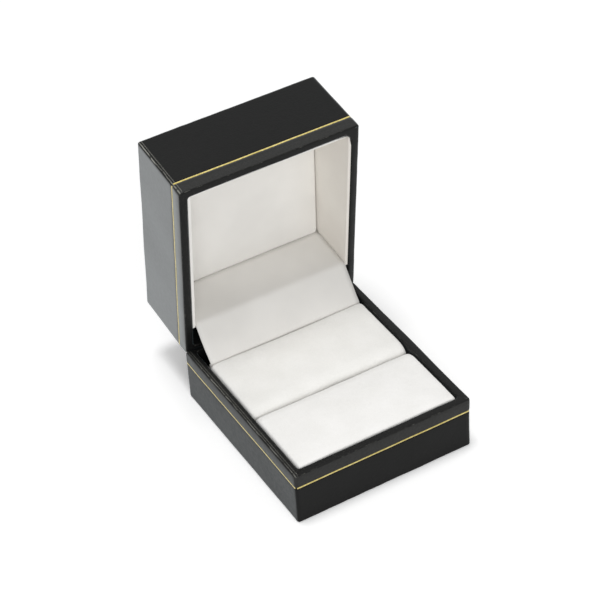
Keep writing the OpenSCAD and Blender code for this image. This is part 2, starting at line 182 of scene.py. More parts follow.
def leatherette_paper(name, polish, bloom):
    """Black leatherette paper: vinyl-coated paper embossed with a fine grain, glued over the
    shells. The coat is semi-matt, so it is nearly black face on and shines grey at a low
    angle, more so with more polish (0 to 1), and the sheen (bloom) adds a haze, tinted cool:
    a painted reflection of bluish light. Where it is pulled round an edge, the grain cracks
    into short lighter lines, mixed with painted glints where light catches the edges, and the
    crease gets two painted highlight lines. The band by the rim is greyer: a painted highlight
    where it swells towards the light, with some rubbing."""
    material, add = new_material(name)
    place = add("TexCoord").outputs["Object"]
    fold, run, rub_and_highlight, wear_and_glint, crease_highlight, inward = (
        add("Attribute", attribute_name=mark).outputs["Fac"] for mark in marks)
    grain_w = 0.42             # the real grain is near 0.25, too fine to show
    pebbles = add("TexVoronoi", {"Vector": place, "Scale": per(grain_w)}, feature="SMOOTH_F1")
    wrinkle = add("TexNoise", {"Vector": place, "Scale": per(1.1), "Detail": 3.0})
    board = add("TexNoise", {"Vector": place, "Scale": per(11.0), "Detail": 1.0})
    ragged = add("TexNoise", {"Vector": place, "Scale": per(0.7), "Detail": 4.0, "Roughness": 0.7})
    patchy = add("TexNoise", {"Vector": place, "Scale": per(0.5), "Detail": 3.0, "Roughness": 0.7})
    short, long, wander = (
        add("TexNoise", {"W": run, "Scale": per(size), "Detail": detail}, noise_dimensions="1D")
        for size, detail in ((1.6, 4.0), (9.0, 1.0), (5.0, 2.0)))
    bent = add("Math", (fold, add("MapRange", (ragged, 0.3, 0.7, -0.2, 0.08))), operation="ADD")
    cracks_and_glints = add("MapRange", (bent, 0.52, 0.7))
    for share in (wear_and_glint, add("MapRange", (short, 0.42, 0.62)),
                  add("MapRange", (long, 0.42, 0.6, 0.1, 1.0))):
        cracks_and_glints = add("Math", (cracks_and_glints, share), operation="MULTIPLY")
    aside = add("Math", (inward, add("MapRange", (wander, 0.3, 0.7, -0.1, 0.1))), operation="ADD")
    on_crease_highlight = add("Math", (crease_highlight, add("MapRange", (long, 0.4, 0.55, 0.3, 1.0))),
                  operation="MULTIPLY")
    # two painted highlight lines along the crease
    for line_at, breaks in ((0.34, 0.35), (0.92, 0.45)):
        off_line = add("Math", (aside, line_at), operation="SUBTRACT")
        off_line = add("Math", (off_line,), operation="ABSOLUTE")
        line = add("MapRange", (off_line, 0.05, 0.15, 1.0, 0.0))
        for share in (on_crease_highlight, add("MapRange", (short, breaks, breaks + 0.12, 0.2, 1.0))):
            line = add("Math", (line, share), operation="MULTIPLY")
        cracks_and_glints = add("Math", (cracks_and_glints, line), operation="MAXIMUM")
    rubbed_and_lit = add("Math", (rub_and_highlight, add("MapRange", (patchy, 0.35, 0.7, 0.65, 1.0))),
                 operation="MULTIPLY")
    colour = add("Mix", (wrinkle, srgb("#0c0c0c"), srgb("#141413")), data_type="RGBA")
    # painted highlight on the band by the rim where it swells towards the light, with rubbing
    colour = add("Mix", (rubbed_and_lit, colour, srgb("#343433")), data_type="RGBA")
    # light crack lines with painted glints along lit edges, and the crease's painted highlight lines
    colour = add("Mix", (cracks_and_glints, colour, srgb("#92928b")), data_type="RGBA")
    low_angle = add("LayerWeight", {"Blend": 0.5}).outputs["Facing"]
    relief = add("Bump", {"Height": board, "Distance": 0.25 * MM, "Strength": 0.2})
    relief = add("Bump", {"Height": wrinkle, "Distance": 0.05 * MM, "Strength": 0.4, "Normal": relief})
    relief = add("Bump", {"Height": pebbles, "Distance": 0.03 * MM, "Strength": 0.5, "Normal": relief})
    shader = add("BsdfPrincipled", {
        "Base Color": colour, "Roughness": add("MapRange", (wrinkle, 0.3, 0.7, 0.36, 0.46)),
        "IOR": 1.5, "Specular IOR Level": 0.13,
        "Coat Weight": add("MapRange", (low_angle, 0.38, 0.68, 0.0, polish)),
        "Coat Roughness": 0.32, "Coat IOR": 1.9, "Sheen Weight": bloom, "Sheen Roughness": 0.3,
        # the cool sheen tint is a painted reflection of bluish light
        "Sheen Tint": srgb("#b6d8e2"), "Normal": relief})
    add("OutputMaterial", (shader,))
    return material


def gold_foil():
    """Hot-stamped gold foil: a vacuum-metallised film pressed into the leatherette. It is
    bright pale gold, takes on a little of the grain under it, and thins here and there. The
    film's lacquer is on top, and pales it at a low angle."""
    material, add = new_material("hot_stamped_gold_foil")
    place = add("TexCoord").outputs["Object"]
    thin = add("TexNoise", {"Vector": place, "Scale": per(0.7), "Detail": 3.0, "Roughness": 0.6})
    grain = add("TexNoise", {"Vector": place, "Scale": per(0.35)})
    colour = add("Mix", (add("MapRange", (thin, 0.35, 0.65)), srgb("#c7b257"), srgb("#e5d487")),
                 data_type="RGBA")
    shader = add("BsdfPrincipled", {
        "Base Color": colour, "Metallic": 1.0,
        "Roughness": add("MapRange", (thin, 0.3, 0.7, 0.28, 0.42)),
        "Coat Weight": 1.0, "Coat Roughness": 0.3,
        "Normal": add("Bump", {"Height": grain, "Distance": 0.02 * MM, "Strength": 0.5})})
    add("OutputMaterial", (shader,))
    return material


def lining_vinyl(name, hex_colour, hex_shade):
    """White leatherette lining: the same coated paper in white, smooth and soft semi-matt,
    with a very faint grain and the slight unevenness of paper glued on card."""
    material, add = new_material(name)
    place = add("TexCoord").outputs["Object"]
    broad = add("TexNoise", {"Vector": place, "Scale": per(14.0)})
    fine = add("TexNoise", {"Vector": place, "Scale": per(0.4)})
    colour = add("Mix", (add("MapRange", (broad, 0.35, 0.65)), srgb(hex_shade), srgb(hex_colour)),
                 data_type="RGBA")
    relief = add("Bump", {"Height": broad, "Distance": 0.25 * MM, "Strength": 0.3})
    relief = add("Bump", {"Height": fine, "Distance": 0.02 * MM, "Strength": 0.35, "Normal": relief})
    shader = add("BsdfPrincipled", {
        "Base Color": colour, "Roughness": add("MapRange", (fine, 0.3, 0.7, 0.5, 0.62)),
        "IOR": 1.5, "Specular IOR Level": 0.35, "Normal": relief})
    add("OutputMaterial", (shader,))
    return material


def velour(name, hex_hollow, hex_tip):
    """White velour, a knitted cotton pile on a backing, over foam. The short dense nap stands
    up, so it scatters all the light that falls on it, has no highlight, and glows softly at
    its outline. It is brushed a little unevenly, which shows as faint patches. The rear pad
    gets a darker copy: painted shade."""
    material, add = new_material(name)
    place = add("TexCoord").outputs["Object"]
    nap_w = 0.34               # real fibres are 0.02 wide and can't show
    nap = add("TexNoise", {"Vector": place, "Scale": per(nap_w), "Roughness": 0.7})
    patches = add("TexNoise", {"Vector": place, "Scale": per(7.0), "Detail": 3.0})
    tone = add("Math", (add("MapRange", (nap, 0.3, 0.7, 0.0, 0.45)),
                        add("MapRange", (patches, 0.35, 0.65, 0.0, 0.55))), operation="ADD")
    relief = add("Bump", {"Height": patches, "Distance": 0.3 * MM, "Strength": 0.3})
    relief = add("Bump", {"Height": nap, "Distance": 0.09 * MM, "Strength": 0.5, "Normal": relief})
    shader = add("BsdfPrincipled", {
        "Base Color": add("Mix", (tone, srgb(hex_hollow), srgb(hex_tip)), data_type="RGBA"),
        "Roughness": 0.95, "Specular IOR Level": 0.1, "Sheen Weight": 0.25,
        "Sheen Roughness": 0.5, "Normal": relief})
    add("OutputMaterial", (shader,))
    return material


def grey_board():
    """Grey board: pulped waste paper pressed into a sheet and cut with a knife. It is dull,
    warm grey-brown and full of short fibres and specks."""
    material, add = new_material("pressed_grey_board")
    place = add("TexCoord").outputs["Object"]
    fibre = add("TexNoise", {"Vector": place, "Scale": per(0.5), "Detail": 6.0, "Roughness": 0.7})
    speck = add("TexNoise", {"Vector": place, "Scale": per(0.25), "Detail": 1.0})
    ground = add("Mix", (fibre, srgb("#857a69"), srgb("#a89d8b")), data_type="RGBA")
    colour = add("Mix", (add("MapRange", (speck, 0.62, 0.7, 0.0, 0.7)), ground, srgb("#5a5145")),
                 data_type="RGBA")
    shader = add("BsdfPrincipled", {
        "Base Color": colour, "Roughness": 0.92, "Specular IOR Level": 0.3,
        "Normal": add("Bump", {"Height": fibre, "Distance": 0.08 * MM, "Strength": 0.6})})
    add("OutputMaterial", (shader,))
    return material


def cut_foam():
    """Cut polyurethane foam: cream, dull, with open pores about 0.4 mm across that the knife
    left standing open."""
    material, add = new_material("cut_polyurethane_foam")
    place = add("TexCoord").outputs["Object"]
    pores = add("TexVoronoi", {"Vector": place, "Scale": per(0.45)}, feature="F1")
    colour = add("Mix", (add("MapRange", (pores, 0.1, 0.6)), srgb("#b9ad8e"), srgb("#ece3c9")),
                 data_type="RGBA")
    shader = add("BsdfPrincipled", {
        "Base Color": colour, "Roughness": 0.95, "Specular IOR Level": 0.2,
        "Subsurface Weight": 0.15, "Subsurface Scale": 1.5 * MM,
        "Normal": add("Bump", {"Height": pores, "Distance": 0.25 * MM, "Strength": 0.7})})
    add("OutputMaterial", (shader,))
    return material


def moulded_polystyrene():
    """Injection-moulded polystyrene in charcoal, from a spark-eroded tool: an even satin
    texture, with faint flow marks."""
    material, add = new_material("moulded_polystyrene")
    place = add("TexCoord").outputs["Object"]
    spark = add("TexNoise", {"Vector": place, "Scale": per(0.2)})
    flow = add("TexNoise", {"Vector": place, "Scale": per(9.0), "Detail": 3.0})
    shader = add("BsdfPrincipled", {
        "Base Color": add("Mix", (flow, srgb("#222226"), srgb("#2b2b2f")), data_type="RGBA"),
        "Roughness": add("MapRange", (flow, 0.3, 0.7, 0.42, 0.55)), "IOR": 1.59,
        "Normal": add("Bump", {"Height": spark, "Distance": 0.02 * MM, "Strength": 0.5})})
    add("OutputMaterial", (shader,))
    return material


def flock_paper():
    """Black flock paper: short nylon fibres stood on end in glue. It is deep black and dead
    matt, with a faint grey bloom where the fibres lean."""
    material, add = new_material("black_flock_paper")
    place = add("TexCoord").outputs["Object"]
    nap = add("TexNoise", {"Vector": place, "Scale": per(0.3), "Detail": 3.0, "Roughness": 0.7})
    lean = add("TexNoise", {"Vector": place, "Scale": per(8.0)})
    shader = add("BsdfPrincipled", {
        "Base Color": add("Mix", (lean, srgb("#111111"), srgb("#1c1c1c")), data_type="RGBA"),
        "Roughness": 0.95, "Specular IOR Level": 0.15, "Sheen Weight": 0.3,
        "Sheen Roughness": 0.4,
        "Normal": add("Bump", {"Height": nap, "Distance": 0.08 * MM, "Strength": 0.6})})
    add("OutputMaterial", (shader,))
    return material


def plated_strip(name, hex_bright, hex_dull, gloss_low, gloss_high, draw_x):
    """Rolled strip steel with a thin plating. Rolling leaves fine scratches along the strip,
    along X if draw_x is true, and the plating dulls a little in patches."""
    material, add = new_material(name)
    place = add("TexCoord").outputs["Object"]
    stretch = (0.06, 1.0, 1.0) if draw_x else (1.0, 0.06, 0.06)
    along = add("Mapping", {"Vector": place, "Scale": stretch})
    scratch = add("TexNoise", {"Vector": along, "Scale": per(0.12), "Detail": 3.0})
    dull = add("TexNoise", {"Vector": place, "Scale": per(3.0), "Detail": 4.0, "Roughness": 0.6})
    colour = add("Mix", (add("MapRange", (dull, 0.4, 0.7)), srgb(hex_bright), srgb(hex_dull)),
                 data_type="RGBA")
    shader = add("BsdfPrincipled", {
        "Base Color": colour, "Metallic": 1.0,
        "Roughness": add("MapRange", (dull, 0.3, 0.7, gloss_low, gloss_high)),
        "Normal": add("Bump", {"Height": scratch, "Distance": 0.006 * MM, "Strength": 0.5})})
    add("OutputMaterial", (shader,))
    return material


# ------------------------------------------------------------------ making meshes

def slice_across(bm, axis_name, places):
    """Cuts every face where a plane across that axis meets it, at each place."""
    normal = Vector([float(letter == axis_name) for letter in "xyz"])
    for place in places:
        geometry = bm.verts[:] + bm.edges[:] + bm.faces[:]
        bmesh.ops.bisect_plane(bm, geom=geometry, plane_co=normal * place, plane_no=normal,
                               dist=1e-4)


def spaced(start, end, count):
    """count places from start to end, both ends included."""
    return [start + (end - start) * k / (count - 1) for k in range(count)]


def round_edges(bm, edges, radius, segments):
    """Rounds those edges off."""
    bmesh.ops.bevel(bm, geom=edges, offset=radius, offset_type="OFFSET", affect="EDGES",
                    segments=segments, profile=0.5, material=-1, clamp_overlap=True)


def slab(low, high, radius=0.0, segments=3):
    """A rectangular board between two corners, with its edges rounded."""
    bm = bmesh.new()
    bmesh.ops.create_cube(bm, size=1)
    size = [b - a for a, b in zip(low, high)]
    bmesh.ops.scale(bm, vec=size, verts=bm.verts)
    bmesh.ops.translate(bm, vec=[(a + b) / 2 for a, b in zip(low, high)], verts=bm.verts)
    if radius:
        round_edges(bm, bm.edges[:], radius, segments)
    return bm


def as_lid(bm):
    """Takes what is drawn as a cup with its rim up, and puts it in the lid's open place."""
    flip = Matrix.Translation((0, 0, base_h + rim_gap + lid_h)) @ Matrix.Scale(-1, 4, (0, 0, 1))
    swing = (Matrix.Translation(axis) @ Matrix.Rotation(-open_angle, 4, "X")
             @ Matrix.Translation(-axis))
    bmesh.ops.transform(bm, matrix=swing @ flip, verts=bm.verts)
    bmesh.ops.recalc_face_normals(bm, faces=bm.faces)


def opened(u, v):
    """Where the open lid carries a point u behind the hinge axis and v above it, as y, z."""
    c, s = math.cos(open_angle), math.sin(open_angle)
    return axis.y + u * c + v * s, axis.z - u * s + v * c


def in_scene(name, data):
    """A new object in the scene, with that data."""
    made = bpy.data.objects.new(name, data)
    bpy.context.scene.collection.objects.link(made)
    return made


def as_mesh(name, bm):
    """A mesh of what is drawn in the bmesh, which is used up."""
    mesh = bpy.data.meshes.new(name)
    bm.to_mesh(mesh)
    bm.free()
    return mesh


def piece(name, bm, material, body, stands_for):
    """Turns a bmesh in millimetres into a piece of the object in metres."""
    bmesh.ops.scale(bm, vec=(MM, MM, MM), verts=bm.verts)
    mesh = as_mesh(name, bm)
    mesh.polygons.foreach_set("use_smooth", [True] * len(mesh.polygons))
    mesh.materials.append(material)
    made = in_scene(name, mesh)
    if body:
        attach(made, body)
    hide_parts(*stands_for)
    return made


def thicken(made, thickness):
    """Gives a surface its thickness, inwards."""
    wall = made.modifiers.new("thickness", "SOLIDIFY")
    wall.thickness = thickness * MM
    wall.offset = -1


def unevenness(place, seed):
    """How far hand-glued covering stands off its true surface there, in millimetres."""
    broad = noise.noise(place / 13 + Vector((seed, 0, 0)))
    close = noise.noise(place / 4.5 + Vector((0, seed, 0)))
    return 0.09 * broad + 0.03 * close


# ------------------------------------------------------------------ the cover

def cup_sheet(h, notch_deep, window, loose):
    """The covering of one half as a bare surface, closed end down: outside, round the rim,
    and down inside. A window of that margin is left in the closed end if it isn't None.
    loose says that its front right inner corner is the rounder one."""
    bm = bmesh.new()
    bmesh.ops.create_cube(bm, size=1)
    bmesh.ops.scale(bm, vec=(box_w, box_d, h), verts=bm.verts)
    bmesh.ops.translate(bm, vec=(0, 0, h / 2), verts=bm.verts)
    top = next(f for f in bm.faces if f.normal.z > 0.9)
    bmesh.ops.inset_region(bm, faces=[top], thickness=wall_t, use_even_offset=True)
    mouth = list(top.edges)
    bmesh.ops.delete(bm, geom=[top], context="FACES_ONLY")
    turned = bmesh.ops.extrude_edge_only(bm, edges=mouth)["geom"]
    bmesh.ops.translate(bm, vec=(0, 0, -turn_in),
                        verts=[g for g in turned if isinstance(g, bmesh.types.BMVert)])
    if window is not None:
        end = next(f for f in bm.faces if f.normal.z < -0.9)
        bmesh.ops.inset_region(bm, faces=[end], thickness=window, use_even_offset=True)
        bmesh.ops.delete(bm, geom=[end], context="FACES_ONLY")
    slope_back_edge(bm, h)
    round_cup(bm, loose)
    cut_notch(bm, h, notch_deep)
    return bm


def slope_back_edge(bm, h):
    """Cuts the rim's back edge off at half the opening angle, and closes the cut."""
    normal = Vector((0, math.sin(half_open), math.cos(half_open)))
    through = Vector((0, axis.y, h + rim_gap / 2)) - normal * stop_gap
    geometry = bm.verts[:] + bm.edges[:] + bm.faces[:]
    bmesh.ops.bisect_plane(bm, geom=geometry, plane_co=through, plane_no=normal,
                           clear_outer=True)
    cut = [e for e in bm.edges if e.is_boundary
           and all(abs((v.co - through).dot(normal)) < 1e-4 for v in e.verts)]
    bmesh.ops.contextual_create(bm, geom=cut)


def is_upright(edge):
    """Whether the edge runs straight up."""
    a, b = edge.verts
    return abs(a.co.x - b.co.x) < 1e-4 and abs(a.co.y - b.co.y) < 1e-4


def edges_between(bm, wall, way):
    """The edges where the cup's outside wall (1) or inside wall (-1) meets faces that point
    up (1) or down (-1)."""
    def is_wall(face):
        outward = face.normal.xy.dot(face.calc_center_median().xy)
        return abs(face.normal.z) < 0.2 and outward * wall > 0

    bm.normal_update()
    shared = [(edge, edge.link_faces) for edge in bm.edges if len(edge.link_faces) == 2]
    return [edge for edge, (one, two) in shared
            if (is_wall(one) and two.normal.z * way > 0.5)
            or (is_wall(two) and one.normal.z * way > 0.5)]


def round_cup(bm, loose):
    """Rounds the cup's corners and edges, each with its own radius."""
    outer = [e for e in bm.edges if is_upright(e) and abs(e.verts[0].co.x) > inside_x + 0.5]
    round_edges(bm, outer, corner_r, 5)
    inner = [e for e in bm.edges if is_upright(e) and e.is_manifold
             and abs(abs(e.verts[0].co.x) - inside_x) < 1e-3
             and abs(abs(e.verts[0].co.y) - (box_d / 2 - wall_t)) < 1e-3]
    roomy = [e for e in inner if loose and e.verts[0].co.x > 0 > e.verts[0].co.y]
    round_edges(bm, [e for e in inner if e not in roomy], inner_corner_r, 5)
    round_edges(bm, roomy, loose_corner_r, 8)
    round_edges(bm, edges_between(bm, 1, -1), edge_r, 5)
    round_edges(bm, edges_between(bm, 1, 1), rim_out_r, 5)
    round_edges(bm, edges_between(bm, -1, 1), rim_in_r, 4)


def cut_notch(bm, h, deep):
    """Opens the back wall for the hinge's knuckles."""
    floor = h + rim_gap / 2 - deep
    half = notch_w / 2
    behind = lining_y + 2      # the back wall is beyond this
    for point, normal in (((half, 0, 0), (1, 0, 0)), ((-half, 0, 0), (1, 0, 0)),
                          ((0, 0, floor), (0, 0, 1))):
        faces = [f for f in bm.faces if f.calc_center_median().y > behind]
        around = {g for f in faces for g in (*f.verts, *f.edges)}
        bmesh.ops.bisect_plane(bm, geom=faces + list(around), plane_co=point, plane_no=normal)
    gone = []
    for face in bm.faces:
        middle = face.calc_center_median()
        if middle.y > behind and abs(middle.x) < half and middle.z > floor:
            gone.append(face)
    bmesh.ops.delete(bm, geom=gone, context="FACES")


def line_press(distance):
    """How deep the stamp pressed the cover, that far from the middle of the gold line."""
    beyond = max(0.0, distance - line_w / 2)
    return line_sink * max(0.0, 1 - beyond / press_fades) ** 2


def cover_half(name, h, notch_deep, window, seed, material, body, node_name):
    """The leatherette of one half, glued on by hand: it swells a little between the rim and
    the gold line, and isn't perfectly flat anywhere."""
    bm = cup_sheet(h, notch_deep, window, loose=body == "lid")
    line_z = h - line_drop
    creased_w = 1.15           # how far in from the left the lid's creases reach
    rub_highlight_fade = 1.2         # from the gold line up to the full grey of the painted highlight and rubbing
    margin = 1.4               # clear of the rounded corners
    slice_across(bm, "x", [creased_w - box_w / 2,
                           *spaced(margin - box_w / 2, box_w / 2 - margin, 47)])
    slice_across(bm, "y", spaced(margin - box_d / 2, box_d / 2 - margin, 53))
    offsets = (0.2, 0.3, 0.45, 0.65)     # closer together where the stamp bent the cover
    slice_across(bm, "z", [line_z + d for d in offsets] + [line_z - d for d in offsets])
    slice_across(bm, "z", [h - rim_out_r - 0.35, h - 1.8, *spaced(edge_r + 0.3, line_z - 1.6, 5)])
    bm.normal_update()
    fold, run, rub_and_highlight, wear_and_glint, crease_highlight, inward = (
        bm.verts.layers.float.new(mark) for mark in marks)
    moves = []
    for vert in bm.verts:
        n = vert.normal.copy()
        sizes = [abs(part) for part in n]
        vert[fold] = min(1.0, max(0.0, (0.985 - max(sizes)) / 0.25))    # 1 in mid-bend
        edge_way = sizes.index(min(sizes))                             # the edge's direction
        which = sum((k + 2) * math.copysign(1, part) for k, part in enumerate(n) if k != edge_way)
        vert[run] = (vert.co[edge_way] + 90 * which) * MM       # 90 keeps the edges apart
        out = vert.co.xy.dot(n.xy) > 0 and abs(n.z) < 0.5 and vert.co.z < h
        # rises from the gold line to the rim: painted highlight where the band swells towards the
        # light, with rubbing; a trace elsewhere
        vert[rub_and_highlight] = min(1.0, max(0.0, (vert.co.z - line_z) / rub_highlight_fade)) if out else 0.12
        vert[inward] = vert.co.x + box_w / 2
        left = vert[inward] < 2
        # where the crease's painted highlight lines go: the lid's left front corner, fainter on the
        # base's left rim
        if body == "lid":
            on_crease_highlight = left and vert.co.y < 0.4 - box_d / 2 and vert.co.z < h - 0.2
        else:
            on_crease_highlight = left and vert.co.z > h - 0.35 and vert[inward] < wall_t - 0.3
        vert[crease_highlight] = (1.0 if body == "lid" else 0.6) * on_crease_highlight
        if on_crease_highlight or edge_way == 2:
            vert[wear_and_glint] = 0.0
        else:                  # the base's left rim, where light catches, gets most: wear and painted glints
            vert[wear_and_glint] = 1.0 if left and vert.co.z > h - 1 and body == "base" else 0.22
        move = unevenness(vert.co, seed) + 0.06 * vert[fold] * noise.noise(vert.co / 1.5)
        if out:
            band = (vert.co.z - line_z) / line_drop
            if 0 < band < 1:
                move += band_swell * math.sin(math.pi * band)
            move -= line_press(abs(vert.co.z - line_z))
        near_hinge = vert.co.y > axis.y - 1.5 and vert.co.z > h - 2.5
        moves.append(Vector() if near_hinge else n * move)
    for vert, move in zip(bm.verts, moves):
        vert.co += move
    if body == "lid":
        as_lid(bm)
    else:
        bmesh.ops.recalc_face_normals(bm, faces=bm.faces)
    thicken(piece(name, bm, material, body, [node_name]), cover_t)


# ------------------------------------------------------------------ the gold lines

def gold_strip(name, h, side, seed, material, body, node_name):
    """The gold line along one side of a half, stamped separately, so it stops short of the
    corners. side is the outward direction, as (x, y)."""
    across_x = side[0] != 0
    half = (box_d if across_x else box_w) / 2
    short_by = 0.4
    reach = half - short_by
    surface = (box_w if across_x else box_d) / 2
    line_z = h - line_drop
    bm = slab((-reach, -line_t, line_z - line_w / 2), (reach, 0, line_z + line_w / 2), 0.02, 2)
    bends = spaced(0.1, 0.7, 4)          # in from each end, where it follows the corner
    slice_across(bm, "x", [place - reach for place in bends] + spaced(1.2 - reach, reach - 1.2, 41)
                 + [reach - place for place in reversed(bends)])
    for vert in bm.verts:
        past = max(0.0, abs(vert.co.x) - half + corner_r)
        vert.co.y += corner_r - math.sqrt(corner_r ** 2 - past ** 2)
    turn = math.atan2(side[1], side[0]) + math.pi / 2
    bmesh.ops.rotate(bm, cent=(0, 0, 0), matrix=Matrix.Rotation(turn, 3, "Z"), verts=bm.verts)
    out = Vector((*side, 0))
    for vert in bm.verts:
        vert.co += out * (surface - line_t + 0.01)
        flat = Vector((vert.co.x, vert.co.y, line_z))
        vert.co += out * unevenness(flat, seed)
        vert.co.z += 0.05 * noise.noise(flat / 6 + Vector((0, 0, seed)))
    if body == "lid":
        as_lid(bm)
    piece(name, bm, material, body, [node_name])


def gold_lines(half_name, h, seed, material, body, node_name):
    """The four gold lines round one half."""
    for side_name, side in (("front", (0, -1)), ("right", (1, 0)), ("back", (0, 1)),
                            ("left", (-1, 0))):
        gold_strip(f"{half_name}_gold_{side_name}", h, side, seed, material, body, node_name)


# ------------------------------------------------------------------ the lid's lining

def into_corner(vert):
    """Keeps a lining card inside the lid's rounder corner."""
    radius = loose_corner_r - 0.02
    corner = Vector((inside_x - loose_corner_r, inside_front + loose_corner_r))
    aside = vert.co.xy - corner
    if aside.x > 0 > aside.y and aside.length > radius:
        vert.co.xy = corner + aside.normalized() * radius


def lid_board(name, node_name, low, high, lip, material, bow=(0, 0, 0)):
    """A lined card panel of the lid. low and high are (x, y, v), v from the lid's rim
    towards its top. The lining is pulled softly over the edge at the rim that faces in, and
    lip says where that is: 0 for x or 1 for y, and the place. bow moves the middle."""
    radius = 0.12
    low, high = Vector((*low[:2], lid_h - high[2])), Vector((*high[:2], lid_h - low[2]))
    bm = slab(low, high)
    fitted = [e for e in bm.edges if is_upright(e) and e.verts[0].co.y < inside_front + 1e-3
              and abs(e.verts[0].co.x) > inside_x - 1e-3]
    round_edges(bm, fitted, panel_t - 0.02, 5)
    k, place = lip
    lips = [e for e in bm.edges if all(abs(v.co[k] - place) < 1e-4 and v.co.z > high.z - 1e-4
                                       for v in e.verts)]
    round_edges(bm, lips, panel_t - 0.15, 6)
    round_edges(bm, [e for e in bm.edges if e.calc_face_angle() > 0.9], radius, 3)
    size, middle = high - low, (low + high) / 2
    margin = radius + 0.25
    for letter, a, b in zip("xyz", low, high):
        if b - a > 3:
            slice_across(bm, letter, spaced(a + margin, b - margin, max(3, round((b - a) / 3))))
    for vert in bm.verts:
        swell = 1.0
        for k in range(3):
            if size[k] > 3:
                swell *= max(0.0, 1 - (2 * (vert.co[k] - middle[k]) / size[k]) ** 2)
        vert.co += Vector(bow) * swell
        into_corner(vert)
    as_lid(bm)
    piece(name, bm, material, "lid", [node_name])


def lid_lining(white, shaded_side):
    """The four lined cards that stand round the inside of the lid."""
    seam = 0.12                # the dark joint between two lined cards
    back = lid_lining_y + panel_t
    for name, side, material in (("left", -1, white), ("right", 1, shaded_side)):
        x0, x1 = sorted((side * inside_x, side * panel_x))
        lid_board(f"{name}_lining_card", f"lid_{name}_panel", (x0, inside_front, panel_drop),
                  (x1, back, lid_floor_v), (0, side * panel_x), material,
                  bow=(-0.12 * side, 0, 0))
    lid_board("front_lining_card", "lid_front_panel", (-panel_x + seam, inside_front, panel_drop),
              (panel_x - seam, inside_front + panel_t, lid_floor_v),
              (1, inside_front + panel_t), white, bow=(0, 0.1, 0))
    lid_board("back_lining_card", "lid_back_panel", (-panel_x + seam, lid_lining_y, back_panel_drop),
              (panel_x - seam, back, lid_floor_v), (1, lid_lining_y), white)


def leaning(y):
    """How much nearer the rim the ceiling is there than at the lid's front."""
    front = inside_front + panel_t
    return ceiling_lean * (y - front) / (lid_lining_y - front)


def ceiling(white, foam):
    """The lid's ceiling: a sheet of lining pulled over foam, so that it swells a little and
    its edges roll away into the joint. It leans, nearer the rim at the hinge."""
    skin = 1.2                 # how far the sheet is turned down at its edges
    crown_t = 1.2              # how far the foam lifts its middle
    x = panel_x - 0.2
    y0, y1 = inside_front + panel_t + 0.05, lid_lining_y - lining_t - 0.02
    z = lid_h - ceiling_v
    bm = slab((-x, y0, z - skin), (x, y1, z))
    for k, roll in ((0, 0.55), (1, 0.02)):         # edges at the sides, then front and back
        edges = [e for e in bm.edges if all(v.co.z > z - 1e-3 for v in e.verts)
                 and abs(e.verts[0].co[k] - e.verts[1].co[k]) < 1e-3]
        round_edges(bm, edges, roll, 5)
    slice_across(bm, "x", spaced(-x + 0.9, x - 0.9, 31))
    slice_across(bm, "y", spaced(y0 + 0.6, y1 - 0.6, 25))
    middle = (y0 + y1) / 2
    half = (y1 - y0) / 2
    for vert in bm.verts:
        lift = leaning(vert.co.y)
        if vert.co.z > z - skin / 2:
            crown = (1 - abs(vert.co.x / x) ** 5) * (1 - abs((vert.co.y - middle) / half) ** 3)
            lift += crown_t * max(0.0, crown) + 0.05 * noise.noise(vert.co / 9)
        vert.co.z += lift
    as_lid(bm)
    sheet = piece("ceiling_sheet", bm, white, "lid", ["ceiling_lining"])
    board_z = lid_h - lid_floor_v + ceiling_board_t
    inset = 0.3
    core = slab((inset - x, y0 + inset, board_z + 0.02), (x - inset, y1 - inset, z - skin - 0.02),
                0.2, 2)
    for vert in core.verts:
        if vert.co.z > (board_z + z - skin) / 2:
            vert.co.z += leaning(vert.co.y)
    as_lid(core)
    pad = piece("ceiling_pad", core, foam, "lid", ["ceiling_foam"])


# ------------------------------------------------------------------ the lining at the hinge

def bend(points, corner, radius, steps):
    """Adds a soft bend at a corner of a route, after the points so far. corner is the three
    places before, at and after the bend."""
    before, at, after = corner
    into, out = (at - before).normalized(), (after - at).normalized()
    reach = radius * math.tan(into.angle(out) / 2)
    start, end = at - into * reach, at + out * reach
    for k in range(steps + 1):
        t = k / steps
        points.append(start * (1 - t) ** 2 + at * (2 * t * (1 - t)) + end * t ** 2)


